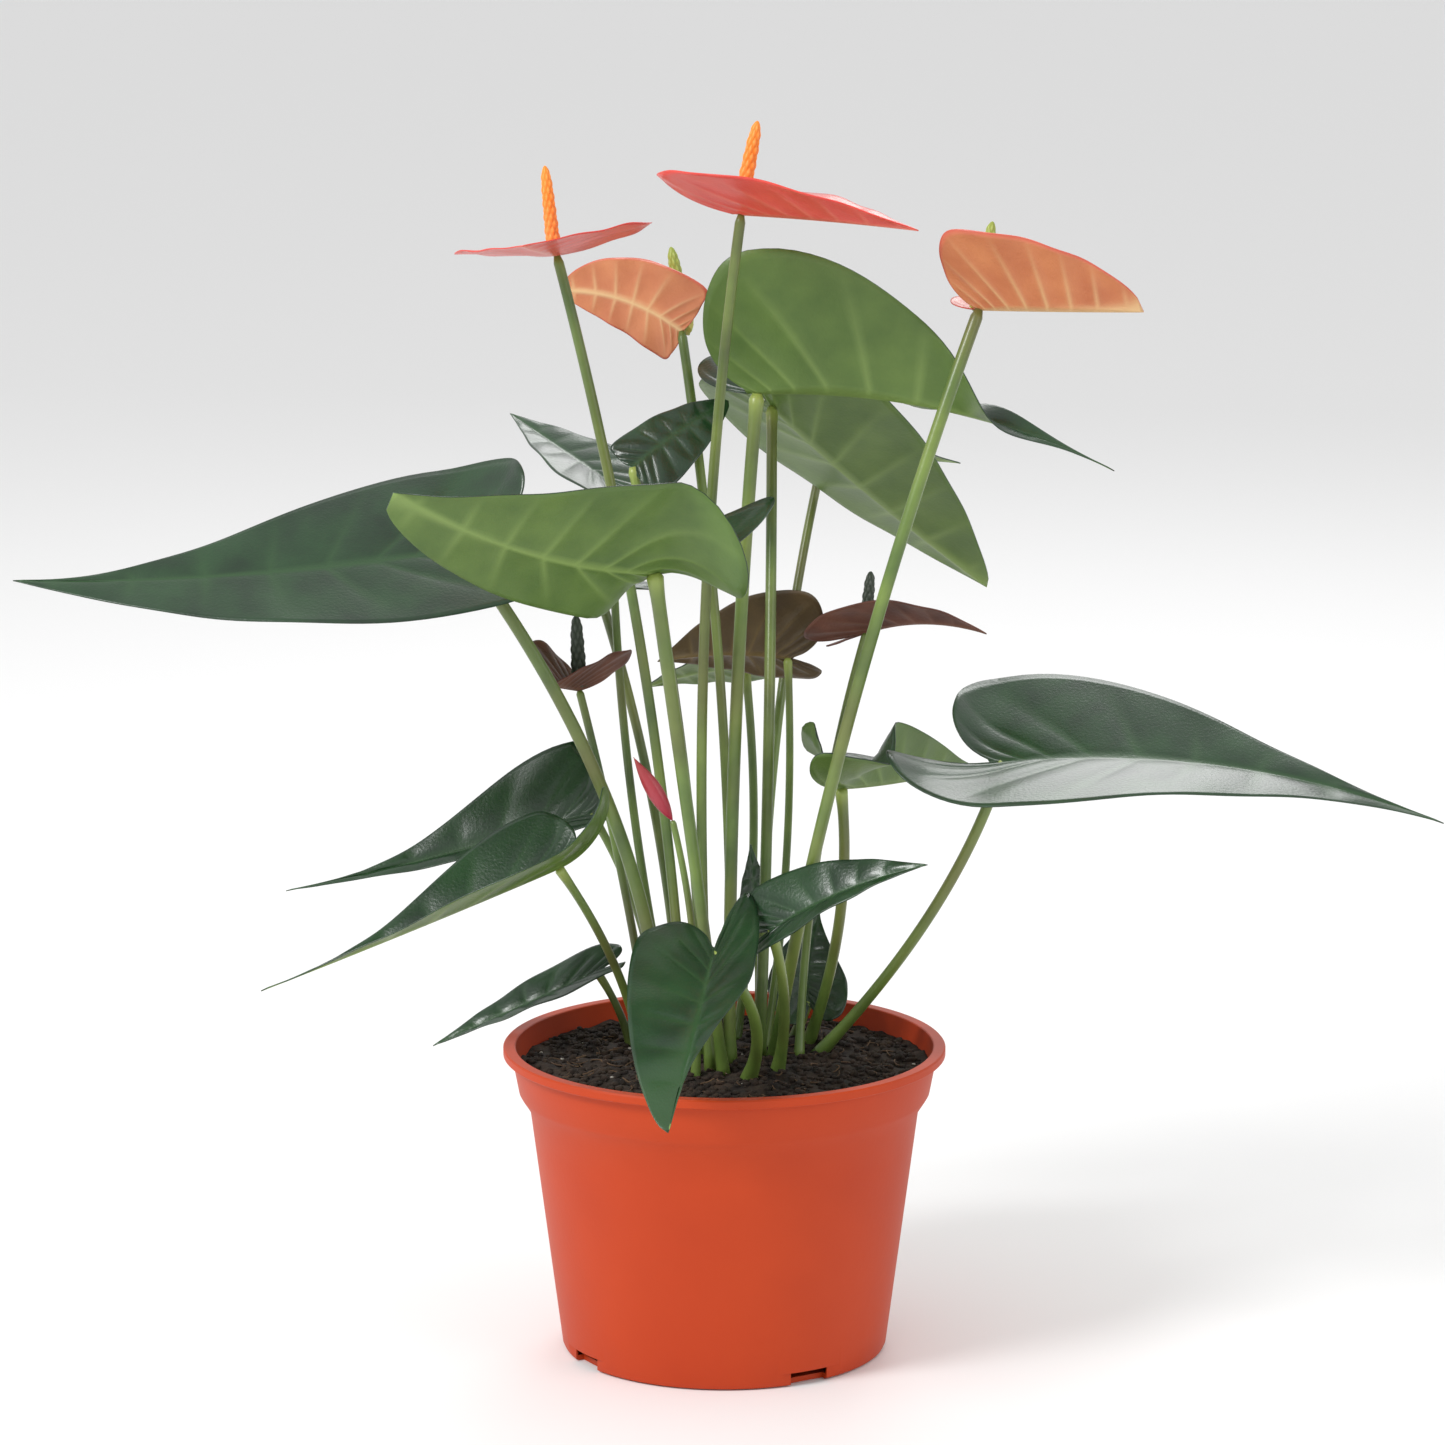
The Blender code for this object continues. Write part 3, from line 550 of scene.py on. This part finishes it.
def build_blade(name, blade, looks, slot, node, relief=1):
    """One sheet from both halves' grids, with its veins, quilting and waved margin in its shape."""
    halves = blade_points(blade, BLADE_RAYS, BLADE_STEPS)
    notch = (halves[0][0] + halves[1][0]) / 2
    for half in halves:
        half[0] = notch
    vein, margin, rise = blade_pattern(halves[0], relief)
    points, values, faces = [], [], []
    numbers = {}

    def vertex(side, ray, step):
        """A grid point's number. The halves share the midrib and the notch, and the tip is one point."""
        if ray == BLADE_RAYS - 1:
            step = 0
        key = (side if ray and step else 0, ray, step)
        if key not in numbers:
            numbers[key] = len(points)
            points.append(halves[side][ray, step])
            values.append((vein[ray, step], margin[ray, step], rise[ray, step]))
        return numbers[key]

    for side in (0, 1):
        for ray in range(BLADE_RAYS - 1):
            for step in range(BLADE_STEPS):
                corners = [vertex(side, ray, step), vertex(side, ray, step + 1),
                           vertex(side, ray + 1, step + 1), vertex(side, ray + 1, step)]
                corners = list(dict.fromkeys(corners))
                if len(corners) > 2:
                    faces.append(corners if side else corners[::-1])
    mesh = mesh_of(name, points, faces)
    mesh.update()
    values = np.array(values)
    normals = np.zeros(len(points) * 3)
    mesh.vertices.foreach_get("normal", normals)
    moved = np.array(points) + normals.reshape(-1, 3) * values[:, 2:] * MM
    mesh.vertices.foreach_set("co", moved.ravel())
    set_pattern(mesh, values[:, 0], values[:, 1])
    sheet = finish_piece(name, mesh, [node], slot, *looks)
    solid = sheet.modifiers.new("thickness", "SOLIDIFY")
    solid.thickness = THIN * MM
    solid.offset = 0
    solid.material_offset = 1               # so the underside takes the second look


def ring_faces(rows, around, base=0):
    """The faces over rings whose points are numbered on from base, with both ends capped."""
    faces = []
    for row in range(rows - 1):
        near = base + row * around
        far = near + around
        for k in range(around):
            after = (k + 1) % around
            faces.append((near + k, near + after, far + after, far + k))
    last = base + (rows - 1) * around
    faces.append(tuple(base + k for k in reversed(range(around))))
    faces.append(tuple(last + k for k in range(around)))
    return faces


def mesh_of_rings(name, rings):
    """A closed mesh over rings of points, in metres."""
    rows, around = np.shape(rings)[:2]
    return mesh_of(name, [point for ring in rings for point in ring], ring_faces(rows, around))


def level_ring(radius, level, around):
    """A level circle round the pot's axis."""
    turn = np.linspace(0, 2 * math.pi, around, endpoint=False)
    return np.stack([radius * np.cos(turn), radius * np.sin(turn), np.full(around, level)], 1)


def rings_along(path, radii, around, bumps=0.0):
    """Rings across a path, from its foot to its top, each turned as little as possible from the last.
    The bumps, as shares of the radius, are one number or rows x around."""
    tangents = unit(np.gradient(path, axis=0))
    across = np.cross(tangents[0], (0, 1, 0))
    turn = np.linspace(0, 2 * math.pi, around, endpoint=False)
    swelling = (1 + bumps) * np.ones((len(path), around))
    rings = []
    for row, (place, tangent) in enumerate(zip(path, tangents)):
        across = unit(across - np.dot(across, tangent) * tangent)
        other = np.cross(tangent, across)
        ways = np.cos(turn)[:, None] * across + np.sin(turn)[:, None] * other
        rings.append(place + (radii[row] * swelling[row])[:, None] * ways)
    return np.array(rings) * MM


def turned(points, angle):
    """The points turned round the pot's axis."""
    x, y, z = np.transpose(points)
    c, s = math.cos(angle), math.sin(angle)
    return np.stack([x * c - y * s, x * s + y * c, z], 1)


STEM_ROWS = 90
STEM_SIDES = 18
STEM_CROWDING = .8          # below 1, a stem's rings are closer together near its top
KNEE = 7.0                  # length of the swollen, paler knee under a leaf
KNEE_SWELL = .22            # how much thicker the knee is, as a share of the radius
FLARE = .35                 # how much thicker a stem's foot is, likewise
FLARE_HEIGHT = 9.0
TIP_HEIGHT = .8             # a stem's last stretch is drawn in, where it meets the blade
TIP_SHARE = .6              # to this share of its radius
BURY = 3.0                  # how far a stem runs down into the mix


def build_stem(name, joint, stem, look, node, knee=True):
    """A stem that bows from its foot in the mix up to the joint."""
    (top_radius, foot_radius), foot, bow = stem
    top = np.array(joint, float)
    low = np.array([*foot, ground(*foot) - BURY])
    middle = (top + low) / 2 + 2 * np.array([*bow, 0])
    t = np.linspace(0, 1, STEM_ROWS)[:, None] ** STEM_CROWDING
    path = (1 - t) ** 2 * low + 2 * t * (1 - t) * middle + t ** 2 * top
    to_top = np.linalg.norm(path - top, axis=1)
    swell = np.exp(-(to_top / KNEE) ** 2) if knee else np.zeros(STEM_ROWS)
    flare = FLARE * np.exp(-((path[:, 2] - low[2]) / FLARE_HEIGHT) ** 2)
    radii = foot_radius + (top_radius - foot_radius) * t[:, 0]
    radii = radii * (1 + KNEE_SWELL * swell + flare) * np.where(to_top < TIP_HEIGHT, TIP_SHARE, 1)
    mesh = mesh_of_rings(name, rings_along(path, radii, STEM_SIDES))
    set_pattern(mesh, np.repeat(swell, STEM_SIDES), 0)
    finish_piece(name, mesh, [node], "stem", look)


HEADROOM = .3               # how far the tips of the spadices and the bud stay inside their solids
SPADIX_ROWS = 120
SPADIX_SIDES = 60
SPADIX_FOOT = .88           # radius at the foot, as a share of the greatest radius
SPADIX_TAPER = .25          # share of the greatest radius that is gone at the tip
SPADIX_BLUNTNESS = 9        # higher for a blunter tip
SPADIX_TIP = .15            # radius of the last ring
FOOT_ROWS = 6               # the rings that lead down to the joint
FOOT_REACH = .6             # how far down they lead, as a share of the gap
SPIRALS = 7                 # rows of beads round a spadix, winding each way
BEAD_CLIMB = 1.7            # higher for beads that are closer together up the spadix
BEAD_HEIGHT = .2            # share of the radius
BEAD_ROUNDNESS = .6         # lower for fuller beads


def build_spadix(name, spathe, shape, look, slot, node):
    """A tapered finger with beads where two sets of spirals cross."""
    length, radius, lean = shape
    axis = unit(np.array([*lean, 1.0]))
    joint = np.array(spathe.joint, float)
    foot = joint + SPADIX_GAP * unit(np.array(spathe.face))
    up = np.linspace(0, 1, SPADIX_ROWS)[:, None]
    path = foot + (up * (length - HEADROOM)) * axis
    path[:FOOT_ROWS] += (joint - foot) * np.linspace(1, 0, FOOT_ROWS)[:, None] * FOOT_REACH
    rounding = np.sqrt(np.clip(1 - up[:, 0] ** SPADIX_BLUNTNESS, 0, 1))
    radii = np.maximum(rounding * (SPADIX_FOOT - SPADIX_TAPER * up[:, 0]) * radius, SPADIX_TIP)
    turn = np.linspace(0, 2 * math.pi, SPADIX_SIDES, endpoint=False)[None, :]
    climb = up * length / radius * BEAD_CLIMB
    one_way = .5 + .5 * np.cos(SPIRALS * turn + climb * 2)
    other_way = .5 + .5 * np.cos(SPIRALS * turn - climb * 2)
    beads = (one_way * other_way) ** BEAD_ROUNDNESS * np.clip((1 - up) * 12, 0, 1)
    mesh = mesh_of_rings(name, rings_along(path, radii, SPADIX_SIDES, BEAD_HEIGHT * beads))
    set_pattern(mesh, np.repeat(up[:, 0], SPADIX_SIDES), beads.ravel())
    finish_piece(name, mesh, [node], slot, look)


BUD_ROWS = 70
BUD_SIDES = 40
BUD_TIP = .12               # radius of the last ring
SEAM_HEIGHT = .16           # of the wrapped edge, as a share of the radius
SEAM_TURN = .6              # how far round the seam winds, in turns
SEAM_SINK = .12             # how far the bud is drawn in so that the seam stays inside its solid


def build_bud(name, look):
    """A rolled bud: a spindle with the wrapped spathe's edge winding up it."""
    axis = unit(np.array([*BUD_LEAN, 1.0]))
    up = np.linspace(0, 1, BUD_ROWS)[:, None]
    path = np.array(BUD_FOOT) + up * (BUD_LENGTH - HEADROOM) * axis
    radius = BUD_RADIUS * np.sin(math.pi * (1 - up[:, 0]) ** 1.2) ** .8 * .97
    radius = np.maximum(np.nan_to_num(radius), BUD_TIP)
    turn = np.linspace(0, 1, BUD_SIDES, endpoint=False)[None, :]
    seam = ((turn + SEAM_TURN * up) % 1) * SEAM_HEIGHT * np.sin(math.pi * up)
    seam = seam - SEAM_SINK * np.sin(math.pi * up)
    mesh = mesh_of_rings(name, rings_along(path, radius, BUD_SIDES, seam))
    set_pattern(mesh, np.repeat(up[:, 0], BUD_SIDES), 0)
    finish_piece(name, mesh, ["flower_bud"], "bud", look)


POT_AROUND = 224
PROFILE_STEP = 12           # least length of a piece when a line of the profile is split
DRAIN_BOX = 8               # depth of the box that cuts a drain hole
RECESS_BOX = 4              # how much deeper than the recess the box is that cuts it
SHARP_EDGE = 28             # edges that turn by more than this, in degrees, stay sharp
BOX_FACES = [(0, 1, 3, 2), (4, 6, 7, 5), (0, 4, 5, 1), (2, 3, 7, 6), (0, 2, 6, 4), (1, 5, 7, 3)]


def cutting_box(size, out, angle):
    """A box centred this far out from the pot's axis and turned round it."""
    corners = np.array([(x, y, z) for x in (-.5, .5) for y in (-.5, .5) for z in (-.5, .5)])
    corners = turned(corners * size + (out, 0, 0), angle) * MM
    return add_object("cutter", mesh_of("cutter", corners, BOX_FACES))


def build_pot(look):
    """The turned pot, its notches and recesses cut by boxes, as in the part."""
    profile = pot_profile()
    fine = []
    for (r0, z0), (r1, z1) in zip(profile, profile[1:]):
        pieces = max(1, int(math.dist((r0, z0), (r1, z1)) / PROFILE_STEP))
        for k in range(pieces):
            fine.append((r0 + (r1 - r0) * k / pieces, z0 + (z1 - z0) * k / pieces))
    # The first point is on the axis, where the floor's cap needs none.
    rings = [level_ring(r, z, POT_AROUND) * MM for r, z in reversed(fine[1:])]
    blank = add_object("pot_blank", mesh_of_rings("pot_blank", rings))
    helpers = [blank]
    boxes = (((RECESS_DEPTH + RECESS_BOX, RECESS_WIDTH, 2 * DRAIN_HEIGHT),
              BASE_RADIUS - RECESS_DEPTH + RECESS_BOX / 2),
             ((DRAIN_BOX, DRAIN_WIDTH, 2 * DRAIN_HEIGHT), BASE_RADIUS))
    for index in range(DRAIN_COUNT):
        angle = math.radians(DRAIN_TURN + index * 360 / DRAIN_COUNT)
        for size, out in boxes:
            cutter = cutting_box(size, out, angle)
            helpers.append(cutter)
            cut = blank.modifiers.new("cut", "BOOLEAN")
            cut.object = cutter
            cut.operation = "DIFFERENCE"
    bpy.context.view_layer.update()
    evaluated = blank.evaluated_get(bpy.context.evaluated_depsgraph_get())
    mesh = bpy.data.meshes.new_from_object(evaluated)
    for helper in helpers:
        bpy.data.objects.remove(helper)
    mesh.name = "pot_shell"
    finish_piece("pot_shell", mesh, ["pot"], "pot", look)
    mesh.set_sharp_from_angle(angle=math.radians(SHARP_EDGE))


SEED = 7
SOIL_RINGS = 70
SOIL_AROUND = 150
LUMP_WAVES = 60             # waves that add up to the mix's rough top
LUMP_TIGHTNESS = .35        # typical, in radians a millimetre
LUMP_HEIGHT = .11           # of each wave
CRUMBS = 2600
CRUMB_SIZES = (.7, 2.1)     # half widths
PERLITE = 26
PERLITE_SIZES = (.6, 1.1)
GRAIN_RISE = .35            # how much of its half height a grain's middle stands above the mix
FIBRES = 150
FIBRE_RINGS = 6
FIBRE_SIDES = 5
FIBRE_RISE = .9             # how high a fibre's middle lies above the mix

# A grain before it is made uneven: six points on the axes, then a cube's eight corners.
GRAIN_POINTS = np.array([(1, 0, 0), (-1, 0, 0), (0, 1, 0), (0, -1, 0), (0, 0, 1), (0, 0, -1)]
                        + [(x, y, z) for x in (-.6, .6) for y in (-.6, .6) for z in (-.6, .6)])
GRAIN_FACES = [
    (0, 10, 12), (0, 11, 10), (0, 13, 11), (0, 12, 13), (1, 8, 6), (1, 6, 7), (1, 7, 9), (1, 9, 8),
    (2, 12, 8), (2, 8, 9), (2, 9, 13), (2, 13, 12), (3, 6, 10), (3, 10, 11), (3, 11, 7), (3, 7, 6),
    (4, 13, 9), (4, 9, 7), (4, 7, 11), (4, 11, 13), (5, 8, 12), (5, 12, 10), (5, 10, 6), (5, 6, 8),
]


def rough_ground(draw):
    """A function for the mix's height with small random lumps."""
    waves = draw.normal(size=(LUMP_WAVES, 2)) * LUMP_TIGHTNESS
    shifts = draw.uniform(0, 2 * math.pi, LUMP_WAVES)

    def height(x, y):
        lumps = sum(math.sin(a * x + b * y + c) for (a, b), c in zip(waves, shifts))
        return ground(x, y) + lumps * LUMP_HEIGHT

    return height


def scattered(draw, reach):
    """A random place within this distance of the pot's axis."""
    radius = reach * draw.uniform() ** .5
    angle = draw.uniform(0, 2 * math.pi)
    return radius * math.cos(angle), radius * math.sin(angle)


def build_soil_bed(height, edge, look):
    """The body of the mix: plain below, where the pot hides it, and rough on top."""
    hidden = ((BASE_RADIUS - 4, 6), (BODY_TOP_RADIUS - 3, BODY_TOP_HEIGHT),
              (edge - 2, SOIL_EDGE_HEIGHT - 4))
    rings = [level_ring(radius, level, SOIL_AROUND) for radius, level in hidden]
    for row in range(SOIL_RINGS):
        circle = level_ring(edge * (1 - row / SOIL_RINGS), 0, SOIL_AROUND)
        rings.append(np.array([(x, y, height(x, y)) for x, y, _ in circle]))
    finish_piece("soil_bed", mesh_of_rings("soil_bed", np.array(rings) * MM), ["soil"], "soil", look)


def build_grains(name, count, sizes, draw, height, reach, look):
    """Loose uneven grains, half sunk in the mix."""
    points, faces = [], []
    for _ in range(count):
        x, y = scattered(draw, reach)
        size = draw.uniform(*sizes) * np.array([1, draw.uniform(.6, 1), draw.uniform(.4, .8)])
        spin = draw.uniform(0, 2 * math.pi)
        unevenness = draw.uniform(.75, 1.15, (len(GRAIN_POINTS), 1))
        lump = turned(GRAIN_POINTS * unevenness * size, spin)
        base = len(points)
        points += list((lump + (x, y, height(x, y) + size[2] * GRAIN_RISE)) * MM)
        faces += [tuple(base + k for k in face) for face in GRAIN_FACES]
    finish_piece(name, mesh_of(name, points, faces), [], "soil", look)


def build_fibres(draw, height, reach, look):
    """Short curved bits of root and husk that lie on the mix."""
    points, faces = [], []
    steps = np.linspace(-.5, .5, FIBRE_RINGS)
    for _ in range(FIBRES):
        middle_x, middle_y = scattered(draw, reach)
        heading = draw.uniform(0, 2 * math.pi)
        bend = draw.uniform(-1.5, 1.5)
        length = draw.uniform(3, 9)
        x = middle_x + length * steps * np.cos(heading + bend * steps)
        y = middle_y + length * steps * np.sin(heading + bend * steps)
        path = np.array([(a, b, height(a, b) + FIBRE_RISE) for a, b in zip(x, y)])
        radii = np.full(FIBRE_RINGS, draw.uniform(.14, .3))
        faces += ring_faces(FIBRE_RINGS, FIBRE_SIDES, len(points))
        points += [point for ring in rings_along(path, radii, FIBRE_SIDES) for point in ring]
    finish_piece("soil_fibres", mesh_of("soil_fibres", points, faces), [], "soil", look)


def build_soil():
    """The potting mix, with grains, perlite and root fibres lying loose on it."""
    soil = soil_look("soil", (.010, .006, .004), (.045, .026, .015))
    fibre = soil_look("fibre", (.075, .042, .022), (.16, .095, .05))
    perlite = soil_look("perlite", (.35, .32, .28), (.6, .57, .52))
    draw = np.random.default_rng(SEED)
    height = rough_ground(draw)
    edge = COLLAR_TOP_RADIUS - WALL - SOIL_GAP - .5
    build_soil_bed(height, edge, soil)
    build_grains("soil_crumbs", CRUMBS, CRUMB_SIZES, draw, height, edge - 2.5, soil)
    build_grains("soil_perlite", PERLITE, PERLITE_SIZES, draw, height, edge - 2.5, perlite)
    build_fibres(draw, height, edge - 9, fibre)


# The stage, in metres and watts.
HALF_FLOOR = 30             # so wide that its far edge passes for a horizon
FLOOR_DROP = .0002          # keeps the floor clear of the pot's foot
WORLD_LIGHT = .8
LIGHTS = {
    # place, the point it faces, diameter and power
    "key": ((-1.3, -1.0, 1.5), (0, 0, .22), .7, 28),
    "fill": ((1.5, -1.0, .9), (0, 0, .22), 1.2, 5),
    "back": ((.3, 1.5, 1.4), (0, 0, .25), .9, 7),
}
CAMERA_PLACE = (-.0007, -2.0, .6316)
CAMERA_TILT = 78.86         # degrees up from straight down
CAMERA_LENS = 137.64        # focal length in millimetres, for the sensor width below
SENSOR_WIDTH = 36


def area_light(name, place, aim, size, power):
    light = bpy.data.lights.new(name, "AREA")
    light.shape = "DISK"
    light.size = size
    light.energy = power
    lamp = add_object(name, light)
    lamp.location = place
    away = np.array(place) - np.array(aim)
    lamp.rotation_euler = (math.atan2(math.hypot(away[0], away[1]), away[2]), 0,
                           math.atan2(away[1], away[0]) + math.pi / 2)


def build_stage():
    """A pale floor under a white sky, three lights and the camera."""
    corners = [(x * HALF_FLOOR, y * HALF_FLOOR, 0) for x, y in ((-1, -1), (1, -1), (1, 1), (-1, 1))]
    mesh = mesh_of("floor", corners, [(0, 1, 2, 3)])
    mesh.materials.append(Look("floor", Base_Color=(.88, .88, .88, 1), Roughness=.8).material)
    floor = add_object("floor", mesh)
    floor.location.z = -FLOOR_DROP
    world = bpy.data.worlds.new("studio")
    world.use_nodes = True
    background = world.node_tree.nodes["Background"]
    background.inputs["Color"].default_value = (1, 1, 1, 1)
    background.inputs["Strength"].default_value = WORLD_LIGHT
    bpy.context.scene.world = world
    bpy.context.scene.view_settings.view_transform = "Standard"
    for name, values in LIGHTS.items():
        area_light(name, *values)
    camera = bpy.data.cameras.new("camera")
    camera.lens = CAMERA_LENS
    camera.sensor_width = SENSOR_WIDTH
    viewer = add_object("camera", camera)
    viewer.location = CAMERA_PLACE
    viewer.rotation_euler = (math.radians(CAMERA_TILT), 0, 0)
    bpy.context.scene.camera = viewer


def main():
    blade_looks = {name: blade_look(name, *values) for name, values in BLADE_LOOKS.items()}
    spadix_looks = {name: spadix_look(name, *values) for name, values in SPADIX_LOOKS.items()}
    stem = stem_look()
    for name, blade in LEAVES.items():
        kind, slot = ("young", "young_leaf") if name == YOUNG_LEAF else ("leaf", "leaf")
        looks = (blade_looks[kind + "_top"], blade_looks[kind + "_under"])
        build_blade(name + "_sheet", blade, looks, slot, name + "_blade")
        build_stem(name + "_stalk", blade.joint, LEAF_STEMS[name], stem, name + "_petiole")
    for name, (colour, blade) in SPATHES.items():
        looks = (blade_looks[colour + "_top"], blade_looks[colour + "_under"])
        build_blade(name + "_bract", blade, looks, "spathe_" + colour, name + "_spathe", SPATHE_RELIEF)
        build_stem(name + "_stalk", blade.joint, FLOWER_STEMS[name], stem, name + "_stem", knee=False)
        colour, *shape = SPADICES[name]
        slot = "spadix_" + colour
        build_spadix(name + "_finger", blade, shape, spadix_looks[slot], slot, name + "_spadix")
    build_bud("bud_spindle", blade_looks["bud"])
    build_stem("bud_stalk", BUD_FOOT, BUD_STEM, stem, "flower_bud_stem", knee=False)
    build_pot(pot_look())
    build_soil()
    build_stage()


main()
